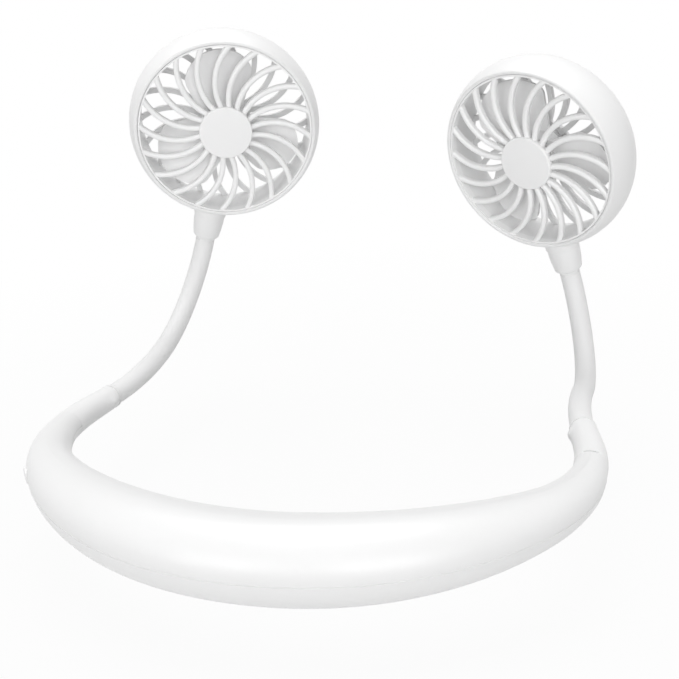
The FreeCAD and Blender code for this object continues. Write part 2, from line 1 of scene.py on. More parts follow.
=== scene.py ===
import json
import math
from collections import namedtuple

import bmesh
import bpy
from mathutils import Matrix, Vector


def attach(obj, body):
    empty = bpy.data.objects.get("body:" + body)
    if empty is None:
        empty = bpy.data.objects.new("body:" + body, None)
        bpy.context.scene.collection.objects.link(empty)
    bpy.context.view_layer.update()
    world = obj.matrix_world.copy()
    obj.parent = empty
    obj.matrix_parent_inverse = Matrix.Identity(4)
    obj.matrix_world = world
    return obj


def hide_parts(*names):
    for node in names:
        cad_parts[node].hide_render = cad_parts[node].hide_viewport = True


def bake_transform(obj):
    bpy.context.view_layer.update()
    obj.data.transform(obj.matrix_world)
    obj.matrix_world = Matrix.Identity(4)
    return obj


# Looks of the neck fan: glossy white mouldings, satin grilles, soft sleeves on the goosenecks.
# Lengths are written in millimetres and turned to metres by MM. Angles are in degrees.

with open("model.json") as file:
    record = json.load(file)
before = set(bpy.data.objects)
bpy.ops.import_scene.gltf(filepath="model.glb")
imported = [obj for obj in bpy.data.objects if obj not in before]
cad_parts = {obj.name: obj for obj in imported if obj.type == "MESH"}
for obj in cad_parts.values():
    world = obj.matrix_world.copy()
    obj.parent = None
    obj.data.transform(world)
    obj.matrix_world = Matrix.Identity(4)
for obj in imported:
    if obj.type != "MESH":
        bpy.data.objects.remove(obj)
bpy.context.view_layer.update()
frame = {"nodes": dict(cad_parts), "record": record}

MM = 0.001
UP = Vector((0, 0, 1))
ACROSS = Vector((1, 0, 0))
SIDE_WAYS = {"left": -1, "right": 1}

# Camera, at the place and turn that the photograph was taken from
CAMERA_PLACE = Vector((91.56, -277.31, 148.54))
CAMERA_RIGHT = Vector((0.9651, 0.2575, -0.0487))
CAMERA_UP = Vector((-0.0476, 0.3551, 0.9336))
CAMERA_LENS = 49.0
CAMERA_SENSOR = 36.0
CAMERA_NEAR = 10.0

# Studio: light of the world from below and above, then each lamp's place, target, size and power
WORLD_LEVELS = (0.28, 0.5)
SOFTBOXES = {
    "key_softbox": ((-200, 300, 2500), (0, 30, 30), 1800, 38.0),
    "right_softbox": ((1200, -2100, 450), (0, 40, 50), 1400, 23.0),
    "left_softbox": ((-800, -2300, 350), (0, 60, 70), 1400, 19.0),
}
# Floor just under the lowest place that a bent gooseneck reaches, white from the fade's outer radius on
FLOOR_HEIGHT = -34.0
FLOOR_SIZE = 6000.0
FLOOR_FADE = (120.0, 400.0)
FLOOR_WHITE_SHARES = (0.95, 1.0)

# Patterns of the finishes: sizes of their features, and how far gloss strays from its middle value
DRIFT_SIZE = 22.0
HAZE_SIZE = 6.0
PATCH_SIZE = 3.0
NOISE_ENDS = (0.3, 0.7)
HAZE_STRAY = (-0.03, 0.04)
MARK_STRAY = (-0.08, 0.1)
MARK_DEPTH = 0.01

# Modelling: how square a flat face is to its direction, how far a rim reaches from a piece's end,
# merging distance and smoothing angles
FLAT = 0.999
RIM_REACH = 0.1
MERGE_GAP = 0.01
CRISP_ANGLE = 30.0
EDGE_ANGLE = 35.0
SOFT_ANGLE = 40.0
DOME_ANGLE = 60.0

# Neckband's centreline: a back arc, a corner arc and a gentle arm arc on each side
BAND_SPAN = 190.0
CORNER_RADIUS = 54.0
BACK_ANGLE = 46.2
CORNER_ANGLE = 50.8
ARM_RADIUS = 84.0
ARM_ANGLE = 3.5
BACK_SINE = math.sin(math.radians(BACK_ANGLE))
BACK_RADIUS = (BAND_SPAN / 2 - CORNER_RADIUS * (1 - BACK_SINE)) / BACK_SINE
BACK_PLACE = (BACK_RADIUS - CORNER_RADIUS) * math.cos(math.radians(BACK_ANGLE)) - BACK_RADIUS
BAND_ARCS = ((BACK_RADIUS, BACK_ANGLE), (CORNER_RADIUS, CORNER_ANGLE), (ARM_RADIUS, ARM_ANGLE))

# Arm boots: foot of the right one and its lean outwards, then the bend at the shells' end
BOOT_SIDES = 72
BOOT_FOOT = (94.93, -2.27)
BOOT_FOOT_LEAN = 2.407
BOOT_FOOT_RADIUS = 5.54
BOOT_BEND_LENGTH = 13.067
BOOT_BEND_TURNS = {"left": 12.909, "right": 11.482}
BOOT_BEND_STEPS = 8
BOOT_BEND_RADIUS = 5.15
# Past the bend, heights and radii of the taper, of the groove, and of the rounded rim with its bore
BOOT_TAPER = ((0.93, 5.12), (4.0, 5.0), (7.4, 4.9), (13.3, 4.74))
BOOT_RING_STEP = 0.6
BOOT_GROOVE = ((13.35, 4.5), (13.65, 4.5), (13.7, 4.74))
BOOT_HEIGHT = 14.93
BOOT_RIM = ((14.7, 4.7), (14.88, 4.6), (BOOT_HEIGHT, 4.45), (BOOT_HEIGHT, 4.1), (12.5, 4.1))
# Lip towards the neck space, and the open seam on top of the right boot
LIP_HEIGHT = 10.0
LIP_PROUD = 1.0
LIP_REACH = 3.9
SLIT_LENGTH = 8.0
SLIT_WIDTH = 0.9
SLIT_DEPTH = 0.9
SLIT_BAR_SHARES = (1.4, 2.0)
SLIT_BAR_SHIFT_SHARE = 0.3
SLIT_ROUND = 0.2

# Goosenecks: turn outwards and upwards where they leave the boots, and tangent of the first arc
NECK_SIDES = 56
NECK_RADIUS = 4.2
NECK_LEAVING = {"left": (0.0, 0.0, 22.0), "right": (2.665, -5.7, 23.638)}
NECK_SPANS = ("root", "lower", "middle", "upper")
HINGE_SHARES = (0.07, 0.36, 0.65, 0.93)
BOOT_INSERT = 3.0
COLLAR_INSERT = 6.5
RING_STEP = 0.8
END_BEND = 6.6
GROOVE_DROP = 1.2
GROOVE_HEIGHT = 0.5
GROOVE_DEPTH = 0.25

# Fan heads: centre, then turn to the middle, tilt down and lean of the head
HEAD_POSES = {
    "left": ((-60.8, 95.6, 96.6), 21.6, 12.5, 14.7),
    "right": ((69.1, 104.8, 82.2), 26.9, 14.8, 9.7),
}
HEAD_BACK = 9.45
CAP_SIDES = 128
CAP_SEAT = 8.85
CAP_RADIUS = 11.0
CAP_THICKNESS = 1.4
CAP_ROUND = 0.55
SPIGOT_RADIUS = 6.0
SPIGOT_DEPTH = 1.0

# Head collars: flange at the barrel, then the cup's radii at distances from the head's centre
COLLAR_SIDES = 80
BARREL_SIDES = 256
BARREL_CORE = 38.2
FLANGE_RADIUS = 7.1
FLANGE_END = 41.6
FLANGE_ROUND = 0.25
BARREL_CORE_DEPTH = 4 * FLANGE_RADIUS
COLLAR_END = 52.5
COLLAR_CUP = ((6.75, FLANGE_END), (6.65, 44.5), (6.4, 47.5), (6.0, 50.2), (5.65, COLLAR_END))
COLLAR_STEP = 0.01
COLLAR_ROUND = 1.1
COLLAR_MOUTH = 4.25
COLLAR_BORE = 6.8

# Screws: head radius, head height, shank radius and shank length
SCREW_SIDES = 48
SHELL_SCREW = (1.9, 1.4, 0.9, 8.0)
SHELL_SCREW_SEAT = -4.0
MOTOR_SCREW = (1.5, 1.0, 0.8, 4.0)
MOTOR_SCREW_CIRCLE = 5.0
SCREW_ROUND_SHARE = 0.5
SCREW_TIP_SHARES = (0.35, 0.3)
RECESS_SHARES = (1.15, 0.3, 1.2)
RECESS_FOOT_SHARE = 0.6

# Places along the band, measured from the middle of its back: left ones are negative
SCREW_STATIONS = (-112.6, -63.3, 0.0, 63.3, 112.6)
SOCKET_STATION = -74.6
BUTTON_STATION = -92.9
LENS_STATION = -101.4

# Power button and indicator on the left arm's outer side: heights are from the band's centreline
BUTTON_SIDES = 72
BUTTON_RADIUS = 2.9
BUTTON_TOP = 8.95
BUTTON_ROUND = 0.5
BUTTON_DISH = 0.28
BUTTON_DISH_SHARES = (0.15, 0.35, 0.3, 0.2)
BUTTON_FLANGE_RADIUS = 3.5
BUTTON_FLANGE_ENDS = (4.265, 5.265)
BUTTON_STEM_RADIUS = 1.4
BUTTON_STEM_FOOT = 3.4
LENS_SIDES = 40
LENS_RADIUS = 1.0
LENS_ENDS = (5.847, 7.647)
LENS_DOME_SHARE = 0.55
LENS_FOOT_SHARE = 0.3
LENS_FOOT_DENT = 0.2

# Charging socket on the left arm's underside: length, width and ends of its shell, and the contact tongue
SOCKET_SIZE = (9.0, 3.2)
SOCKET_ENDS = (-9.898, -2.698)
SOCKET_WALL = 0.3
SOCKET_ROUND = 0.15
MOUTH_FLAT = 0.02
TONGUE_SIZE = (6.7, 0.7, 4.6)
TONGUE_TIP_SHARES = (0.96, 0.8)
TONGUE_ROUND = 0.12


def linear(hex_colour):
    """An sRGB hex colour as the linear values that a shader takes."""
    values = [int(hex_colour[k:k + 2], 16) / 255 for k in (1, 3, 5)]
    return [v / 12.92 if v <= 0.04045 else ((v + 0.055) / 1.055) ** 2.4 for v in values] + [1.0]


def per_mm(size):
    """Texture scale whose features are about a size in millimetres."""
    return 1 / (size * MM)


def add(tree, kind, inputs=(), feeds=(), **settings):
    """Adds a shader node with its settings and values, linked from nodes before it and to nodes after it."""
    node = tree.nodes.new("ShaderNode" + kind)
    for name, value in settings.items():
        setattr(node, name, value)
    for socket, value in inputs:
        if isinstance(value, bpy.types.NodeSocket):
            tree.links.new(value, node.inputs[socket])
        else:
            node.inputs[socket].default_value = value
    for output, socket in feeds:
        tree.links.new(node.outputs[output], socket)
    return node


def fresh(name, **values):
    """A new material with its shader's constant values, and the place on the piece to draw patterns by."""
    material = bpy.data.materials.new(name)
    material.use_nodes = True
    tree = material.node_tree
    shader = tree.nodes["Principled BSDF"]
    for socket, value in values.items():
        shader.inputs[socket.replace("_", " ")].default_value = value
    place = add(tree, "TexCoord").outputs["Object"]
    return material, tree, shader, place


def moulded_plastic(name, colours, roughness, grain, depth, ior):
    """Injection-moulded plastic: fine mould grain, and a slow drift of colour and gloss over the moulding."""
    material, tree, shader, place = fresh(name, IOR=ior)
    drift = add(tree, "TexNoise", (("Vector", place), ("Scale", per_mm(DRIFT_SIZE)), ("Detail", 2.0)))
    add(tree, "Mix", ((0, drift.outputs["Fac"]), (6, linear(colours[0])), (7, linear(colours[1]))),
        ((2, shader.inputs["Base Color"]),), data_type="RGBA")
    haze = add(tree, "TexNoise", (("Vector", place), ("Scale", per_mm(HAZE_SIZE)), ("Detail", 2.0)))
    add(tree, "MapRange", (("Value", haze.outputs["Fac"]),
                           ("From Min", NOISE_ENDS[0]), ("From Max", NOISE_ENDS[1]),
                           ("To Min", roughness + HAZE_STRAY[0]), ("To Max", roughness + HAZE_STRAY[1])),
        (("Result", shader.inputs["Roughness"]),))
    skin = add(tree, "TexNoise", (("Vector", place), ("Scale", per_mm(grain)), ("Detail", 3.0)))
    add(tree, "Bump", (("Height", skin.outputs["Fac"]), ("Distance", depth * MM), ("Strength", 1.0)),
        (("Normal", shader.inputs["Normal"]),))
    return material


def worked_steel(name, colours, roughness, mark):
    """Drawn, turned or pressed steel: a patchy plating tone, and gloss broken by fine working marks."""
    material, tree, shader, place = fresh(name, Metallic=1.0)
    patch = add(tree, "TexNoise", (("Vector", place), ("Scale", per_mm(PATCH_SIZE)), ("Detail", 2.0)))
    add(tree, "Mix", ((0, patch.outputs["Fac"]), (6, linear(colours[0])), (7, linear(colours[1]))),
        ((2, shader.inputs["Base Color"]),), data_type="RGBA")
    marks = add(tree, "TexNoise", (("Vector", place), ("Scale", per_mm(mark)), ("Detail", 4.0)))
    add(tree, "MapRange", (("Value", marks.outputs["Fac"]),
                           ("From Min", NOISE_ENDS[0]), ("From Max", NOISE_ENDS[1]),
                           ("To Min", roughness + MARK_STRAY[0]), ("To Max", roughness + MARK_STRAY[1])),
        (("Result", shader.inputs["Roughness"]),))
    add(tree, "Bump", (("Height", marks.outputs["Fac"]), ("Distance", MARK_DEPTH * MM), ("Strength", 1.0)),
        (("Normal", shader.inputs["Normal"]),))
    return material


# Polished-mould ABS: a clean white gloss with a very slight ripple in its reflections
shell_white = moulded_plastic("gloss_abs_white", ("#e9e9e9", "#e6e6e6"), 0.33, 1.6, 0.006, 1.54)
# The same ABS from a lightly blasted mould on the barrels: whiter to the eye, because it mirrors less
barrel_white = moulded_plastic("blasted_abs_white", ("#ececec", "#e9e9e9"), 0.38, 0.9, 0.006, 1.54)
# ABS from a spark-eroded mould: an even satin that spreads highlights along the vanes
grille_white = moulded_plastic("satin_abs_white", ("#f4f4f4", "#f1f1f1"), 0.42, 0.5, 0.006, 1.54)
# Polypropylene: softer and a little waxy beside the ABS round it
blade_white = moulded_plastic("polypropylene_white", ("#f0f0f0", "#ececec"), 0.45, 0.7, 0.006, 1.49)
# Thermoplastic rubber: matt, so the boots show broad soft highlights
boot_white = moulded_plastic("satin_tpe_white", ("#ececec", "#e9e9e9"), 0.45, 0.6, 0.006, 1.5)
# Extruded silicone tube: a dry sheen with a fine talc-like grain
sleeve_white = moulded_plastic("silicone_tube_white", ("#ececec", "#e9e9e9"), 0.5, 1.0, 0.004, 1.43)
# Drawn wire, bright with fine draw marks
core_steel = worked_steel("drawn_core_wire", ("#a8a9ac", "#949598"), 0.37, 0.4)
# Zinc-plated deep-drawn can, grey and slightly clouded
can_steel = worked_steel("zinc_plated_can", ("#b9babd", "#a9aaad"), 0.37, 0.5)
# Ground shaft steel, the brightest metal of the fan
shaft_steel = worked_steel("ground_shaft_steel", ("#c8c9cc", "#bdbec1"), 0.16, 0.3)
# Zinc-plated screws, dull and a little dark
screw_steel = worked_steel("zinc_plated_screw", ("#a5a6a8", "#8f9092"), 0.38, 0.3)
# Pressed stainless sheet, with fine rolling marks
socket_steel = worked_steel("stainless_sheet", ("#bcbdbf", "#adaeb0"), 0.37, 0.4)
# Shrink-fitted PVC film on the cells, with slack ripples
cell_wrap = moulded_plastic("pvc_cell_wrap", ("#27568c", "#224d80"), 0.22, 4.0, 0.03, 1.53)
# Glass-epoxy board under green solder mask, with the weave just showing
board_green = moulded_plastic("solder_mask_green", ("#1d5a34", "#184c2c"), 0.35, 0.8, 0.012, 1.5)
# Glass-filled nylon, black and slightly rough
switch_black = moulded_plastic("nylon_black", ("#1d1d1e", "#171718"), 0.5, 0.4, 0.008, 1.53)
# Milky polycarbonate diffuser, with a clean gloss
lens_milky = moulded_plastic("polycarbonate_diffuser", ("#e8eef2", "#e2e9ee"), 0.2, 1.0, 0.003, 1.58)

SLOT_FINISHES = {
    "white_shell": shell_white, "white_grille": grille_white, "white_blade": blade_white,
    "white_sleeve": sleeve_white, "white_boot": boot_white, "core_steel": core_steel,
    "motor_steel": can_steel, "shaft_steel": shaft_steel, "screw_steel": screw_steel,
    "cell_wrap": cell_wrap, "board_green": board_green, "switch_black": switch_black,
    "socket_steel": socket_steel, "lens_clear": lens_milky,
}


def dress_cad_nodes():
    """Every node of the frame gets the finish of its material slot, and the barrels their blasted one."""
    for part in frame["record"]["subparts"]:
        materials = frame["nodes"][part["node"]].data.materials
        materials.clear()
        on_head = part["node"].endswith(("fan_housing", "head_collar"))
        materials.append(barrel_white if on_head else SLOT_FINISHES[part["material_slot"]])


# Lines that the pieces follow
Arc = namedtuple("Arc", "start along bend radius length")


def on_arc(arc, distance):
    """Place and direction at a distance along an arc."""
    turn = distance / arc.radius
    place = arc.start + (arc.along * math.sin(turn) + arc.bend * (1 - math.cos(turn))) * arc.radius
    return place, arc.along * math.cos(turn) + arc.bend * math.sin(turn)


def arc_to(start, along, end):
    """Arc that leaves a start in a direction and ends at a point."""
    chord = end - start
    bend = (chord - along * chord.dot(along)).normalized()
    rise = chord.dot(bend)
    radius = chord.length_squared / (2 * rise)
    return Arc(start, along, bend, radius, 2 * radius * math.atan2(rise, chord.dot(along)))


def turned(direction, towards, angle):
    """A direction turned by an angle towards one square to it."""
    return direction * math.cos(math.radians(angle)) + towards * math.sin(math.radians(angle))


def band_at(station):
    """Place on the band's centreline at a station, with the ways along and outwards there."""
    way = -1 if station < 0 else 1
    rest = abs(station)
    heading = 0.0
    place = Vector((0, BACK_PLACE, 0))
    for radius, angle in BAND_ARCS:
        step = min(rest / radius, math.radians(angle))
        middle = place + Vector((-math.sin(heading), math.cos(heading), 0)) * radius
        heading += step
        place = middle + Vector((math.sin(heading), -math.cos(heading), 0)) * radius
        rest -= step * radius
    along = Vector((way * math.cos(heading), math.sin(heading), 0))
    outward = Vector((way * math.sin(heading), -math.cos(heading), 0))
    return Vector((way * place.x, place.y, 0)), along, outward


def head_axes(side):
    """Centre of a fan head, the way it faces and the way across it."""
    centre, turn, tilt, lean = HEAD_POSES[side]
    way = SIDE_WAYS[side]
    level = turned(Vector((0, -1, 0)), Vector((-way, 0, 0)), turn)
    front = turned(level, -UP, tilt)
    across = UP.cross(front).normalized()
    upright = turned(front.cross(across), across * -way, lean)
    return Vector(centre), front, upright.cross(front)


def boot_bend(side):
    """Arc of a boot's centreline from its foot, bending in towards the neck space."""
    x, y = BOOT_FOOT
    way = SIDE_WAYS[side]
    along = turned(Vector((0, 1, 0)), ACROSS * way, BOOT_FOOT_LEAN)
    inward = Vector((-way * along.y, way * along.x, 0))
    radius = BOOT_BEND_LENGTH / math.radians(BOOT_BEND_TURNS[side])
    return Arc(Vector((way * x, y, 0)), along, inward, radius, BOOT_BEND_LENGTH)


def neck_arcs(side):
    """Two tangent arcs of a gooseneck's centreline, from the boot's mouth to the collar's."""
    bend = boot_bend(side)
    place, along = on_arc(bend, bend.length)
    start = place + along * BOOT_HEIGHT
    outwards, upwards, lead = NECK_LEAVING[side]
    leaving = turned(turned(along, along.cross(UP) * SIDE_WAYS[side], outwards), UP, upwards)
    centre, front, across = HEADS[side]
    arriving = front.cross(across)
    end = centre - arriving * COLLAR_END
    corner = start + leaving * lead
    rest = end - corner
    tail = (rest.length_squared - lead ** 2) / (2 * (lead + rest.dot(arriving)))
    far_corner = end - arriving * tail
    middle = corner + (far_corner - corner) * (lead / (lead + tail))
    return arc_to(start, leaving, middle), arc_to(middle, (far_corner - corner).normalized(), end)


HEADS = {side: head_axes(side) for side in SIDE_WAYS}
NECKS = {side: neck_arcs(side) for side in SIDE_WAYS}


def neck_at(side, distance):
    """Place and direction on a gooseneck's centreline, by distance from the boot's mouth."""
    first, last = NECKS[side]
    return on_arc(first, distance) if distance <= first.length else on_arc(last, distance - first.length)


def frame_at(place, front, across):
    """Matrix of a piece modelled along +Z: +Z becomes the front and +X the direction across."""
    turn = Matrix((across, front.cross(across), front)).transposed().to_4x4()
    return Matrix.Translation(place * MM) @ turn


def let_go():
    """Goes to object mode with nothing selected."""
    if bpy.context.mode != "OBJECT":
        bpy.ops.object.mode_set(mode="OBJECT")
    bpy.ops.object.select_all(action="DESELECT")


def hold(piece):
    """Makes a piece the only selected one, in object mode."""
    let_go()
    piece.select_set(True)
    bpy.context.view_layer.objects.active = piece


def start_piece(name, adder, **settings):
    """Adds a primitive with nothing else selected, and keeps its place in its mesh."""
    let_go()
    adder(**settings)
    piece = bpy.context.object
    piece.name = name
    bpy.ops.object.transform_apply(location=True, rotation=True, scale=True)
    return piece


def start_ring(name, sides, radius, place, direction):
    """Adds a ring square to a direction, selected in edit mode for a tube to grow from."""
    ring = start_piece(name, bpy.ops.mesh.primitive_circle_add, vertices=sides, radius=radius * MM,
                       location=place * MM, rotation=direction.to_track_quat("Z", "Y").to_euler())
    bpy.ops.object.mode_set(mode="EDIT")
    bpy.ops.mesh.select_all(action="SELECT")
    return ring


def pick_faces(piece, wanted):
    """Goes to edit mode with only those faces selected whose centre and normal are wanted."""
    bpy.ops.object.mode_set(mode="EDIT")
    bpy.ops.mesh.select_mode(type="FACE")
    bpy.ops.mesh.select_all(action="DESELECT")
    mesh = bmesh.from_edit_mesh(piece.data)
    for face in mesh.faces:
        face.select_set(wanted(face.calc_center_median() / MM, face.normal))
    bmesh.update_edit_mesh(piece.data)


def top_face(height):
    """Picks flat faces that look up from above a height."""
    return lambda centre, normal: normal.z > FLAT and centre.z > height


def foot_face(height):
    """Picks flat faces that look down from below a height."""
    return lambda centre, normal: normal.z < -FLAT and centre.z < height


def inset(thickness, depth=0.0):
    """Insets the selected faces by a width and a depth in millimetres."""
    bpy.ops.mesh.inset(thickness=thickness * MM, depth=depth * MM)


def pull(vector):
    """Extrudes what is selected by a vector in millimetres."""
    bpy.ops.mesh.extrude_region_move(TRANSFORM_OT_translate={"value": Vector(vector) * MM})


def round_over(radius, segments):
    """Rounds the edges of what is selected."""
    bpy.ops.mesh.bevel(offset=radius * MM, segments=segments, affect="EDGES", clamp_overlap=True)


def spin_ring(arc, length, steps):
    """Turns the selected ring along an arc by a length."""
    centre = arc.start + arc.bend * arc.radius
    bpy.ops.mesh.spin(steps=steps, angle=-length / arc.radius, center=centre * MM,
                      axis=arc.along.cross(arc.bend))


def size_ring(centre, share):
    """Brings the selected ring to a share of its size."""
    bpy.ops.transform.resize(value=(share, share, share), center_override=centre * MM)


def close_ends():
    """Fills a tube's open ends and turns its faces outwards."""
    bpy.ops.mesh.select_mode(type="VERT")
    bpy.ops.mesh.select_all(action="DESELECT")
    bpy.ops.mesh.select_non_manifold(extend=False)
    bpy.ops.mesh.fill_holes(sides=0)
    bpy.ops.mesh.select_all(action="SELECT")
    bpy.ops.mesh.remove_doubles(threshold=MERGE_GAP * MM)
    bpy.ops.mesh.normals_make_consistent(inside=False)


def set_in_place(piece, place):
    """Moves a piece modelled at the origin to its place, which goes into the mesh."""
    hold(piece)
    piece.matrix_world = place
    bpy.ops.object.transform_apply(location=True, rotation=True, scale=True)


def copy_to(piece, name, place):
    """A copy of a modelled piece with its own mesh, at a place."""
    hold(piece)
    bpy.ops.object.duplicate(linked=False)
    copy = bpy.context.object
    copy.name = name
    set_in_place(copy, place)
    return copy


def cut_with(piece, cutter):
    """Takes a cutter's shape out of a piece and removes the cutter."""
    hold(piece)
    cut = piece.modifiers.new("cut", "BOOLEAN")
    cut.operation = "DIFFERENCE"
    cut.object = cutter
    bpy.ops.object.modifier_apply(modifier=cut.name)
    bpy.data.objects.remove(cutter)


def finish_piece(piece, material, angle):
    """Smooths a piece up to an angle between its faces and gives it its material."""
    hold(piece)
    bpy.ops.object.shade_smooth_by_angle(angle=math.radians(angle))
    piece.data.materials.clear()
    piece.data.materials.append(material)


def carry(piece, body, slot, *nodes):
    """Lets a piece ride on a body and hides the nodes it stands for; the slot argument is not used."""
    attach(piece, body)
    if nodes:
        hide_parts(*nodes)


def boot_rings():
    """Heights and radii of a boot's rings past its bend, close together where the lip is drawn out."""
    yield from BOOT_TAPER[:-1]
    (low, low_radius), (high, high_radius) = BOOT_TAPER[-2:]
    slope = (high_radius - low_radius) / (high - low)
    height = low + BOOT_RING_STEP
    while height < high:
        yield height, low_radius + slope * (height - low)
        height += BOOT_RING_STEP
    yield high, high_radius
    yield from BOOT_GROOVE + BOOT_RIM


def draw_lip(boot, crown, inner):
    """Draws a soft lip out of a boot at the vertex nearest to its crown."""
    bpy.ops.mesh.select_all(action="DESELECT")
    mesh = bmesh.from_edit_mesh(boot.data)
    min(mesh.verts, key=lambda vertex: (vertex.co - crown * MM).length).select_set(True)
    bmesh.update_edit_mesh(boot.data)
    bpy.ops.transform.translate(value=inner * LIP_PROUD * MM, use_proportional_edit=True,
                                proportional_edit_falloff="SMOOTH", proportional_size=LIP_REACH * MM)


def boot_cone(side):
    """Boot that carries on the arm's bend and tapers to its mouth, with a soft lip towards the neck space."""
    bend = boot_bend(side)
    radius = BOOT_FOOT_RADIUS
    boot = start_ring(f"{side}_boot_cone", BOOT_SIDES, radius, bend.start, bend.along)
    for step in range(1, BOOT_BEND_STEPS + 1):
        share = step / BOOT_BEND_STEPS
        wide = BOOT_FOOT_RADIUS + (BOOT_BEND_RADIUS - BOOT_FOOT_RADIUS) * share
        spin_ring(bend, bend.length / BOOT_BEND_STEPS, 1)
        place, along = on_arc(bend, bend.length * share)
        size_ring(place, wide / radius)
        radius = wide
    last = 0.0
    for height, wide in boot_rings():
        pull(along * (height - last))
        size_ring(place + along * height, wide / radius)
        radius, last = wide, height
    close_ends()
    inner = UP.cross(along) * SIDE_WAYS[side]
    draw_lip(boot, place + along * LIP_HEIGHT + inner * radius, inner)
    return boot


def slit_boot(boot, foot):
    """Cuts the short open seam on top of a boot, where it meets the shells."""
    length_share, height_share = SLIT_BAR_SHARES
    middle = foot.start + foot.along * SLIT_WIDTH * SLIT_BAR_SHIFT_SHARE
    middle += UP * (BOOT_FOOT_RADIUS - SLIT_DEPTH + SLIT_WIDTH * height_share / 2)
    bar = start_piece("slit_bar", bpy.ops.mesh.primitive_cube_add, size=MM, location=middle * MM,
                      rotation=(0, 0, -math.asin(foot.along.x)),
                      scale=(SLIT_LENGTH, SLIT_WIDTH * length_share, SLIT_WIDTH * height_share))
    pick_faces(bar, foot_face(BOOT_FOOT_RADIUS))
    round_over(SLIT_ROUND, 2)
    cut_with(boot, bar)


def make_boots():
    """A boot on each arm end, the right one with the open seam."""
    for side in SIDE_WAYS:
        boot = boot_cone(side)
        if side == "right":
            slit_boot(boot, boot_bend(side))
        finish_piece(boot, boot_white, SOFT_ANGLE)
        carry(boot, "neckband", "white_boot", f"{side}_arm_boot")


def neck_run(side, start, end):
    """Turns the selected ring along a gooseneck between two distances."""
    base = 0.0
    for arc in NECKS[side]:
        first, last = max(start - base, 0.0), min(end - base, arc.length)
        base += arc.length
        if last > first:
            spin_ring(arc, last - first, max(1, round((last - first) / RING_STEP)))


def step_ring(side, distance, share):
    """A step in or out to a share of the selected ring's size."""
    pull((0, 0, 0))
    size_ring(neck_at(side, distance)[0], share)


def sleeve_piece(side, number, hinges, total):
    """Sleeve over one bend of a gooseneck, from the middle of one span to the middle of the next."""
    start = (hinges[number - 1] + hinges[number]) / 2 if number > 0 else 0.0
    end = (hinges[number] + hinges[number + 1]) / 2 if number + 1 < len(hinges) else total
    place, direction = neck_at(side, start)
    if number == 0:
        place = place - direction * BOOT_INSERT
    sleeve = start_ring(f"{side}_sleeve_bend_{number + 1}", NECK_SIDES, NECK_RADIUS, place, direction)
    if number == 0:
        pull(direction * BOOT_INSERT)
    if number + 1 == len(hinges):
        low, high = end - GROOVE_DROP - GROOVE_HEIGHT, end - GROOVE_DROP
        share = 1 - GROOVE_DEPTH / NECK_RADIUS
        neck_run(side, start, low)
        step_ring(side, low, share)
        neck_run(side, low, high)
        step_ring(side, high, 1 / share)
        neck_run(side, high, end)
        pull(neck_at(side, total)[1] * COLLAR_INSERT)
    else:
        neck_run(side, start, end)
    close_ends()
    finish_piece(sleeve, sleeve_white, SOFT_ANGLE)
    return sleeve


def make_sleeves():
    """Sleeves of both goosenecks, each laid over the hinge that it covers."""
    for side in SIDE_WAYS:
        total = sum(arc.length for arc in NECKS[side])
        hinges = [share * total for share in HINGE_SHARES]
        for number, span in enumerate(NECK_SPANS):
            sleeve = sleeve_piece(side, number, hinges, total)
            reach = END_BEND
            if number not in (0, len(NECK_SPANS) - 1):
                reach = (hinges[number + 1] - hinges[number]) / 2 - RING_STEP
            low = neck_at(side, hinges[number] - reach)[0] * MM
            high = neck_at(side, hinges[number] + reach)[0] * MM
            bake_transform(sleeve)
            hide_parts(f"{side}_gooseneck_sleeve_{span}")
            if number == len(NECK_SPANS) - 1:
                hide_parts(f"{side}_gooseneck_sleeve_top")


def make_hub_caps():
    """Plain round caps with a softly rounded edge and a spigot behind."""
    cap = start_piece("left_hub_disc", bpy.ops.mesh.primitive_cylinder_add, vertices=CAP_SIDES,
                      radius=CAP_RADIUS * MM, depth=CAP_THICKNESS * MM,
                      location=(0, 0, (CAP_SEAT + CAP_THICKNESS / 2) * MM))
    pick_faces(cap, top_face(CAP_SEAT))
    round_over(CAP_ROUND, 6)
    pick_faces(cap, foot_face(CAP_SEAT + CAP_THICKNESS / 2))
    inset(CAP_RADIUS - SPIGOT_RADIUS)
    pull((0, 0, -SPIGOT_DEPTH))
    finish_piece(cap, grille_white, EDGE_ANGLE)
    twin = copy_to(cap, "right_hub_disc", frame_at(*HEADS["right"]))
    set_in_place(cap, frame_at(*HEADS["left"]))
    for side, disc in (("left", cap), ("right", twin)):
        carry(disc, f"{side}_head", "white_shell", f"{side}_hub_cap")


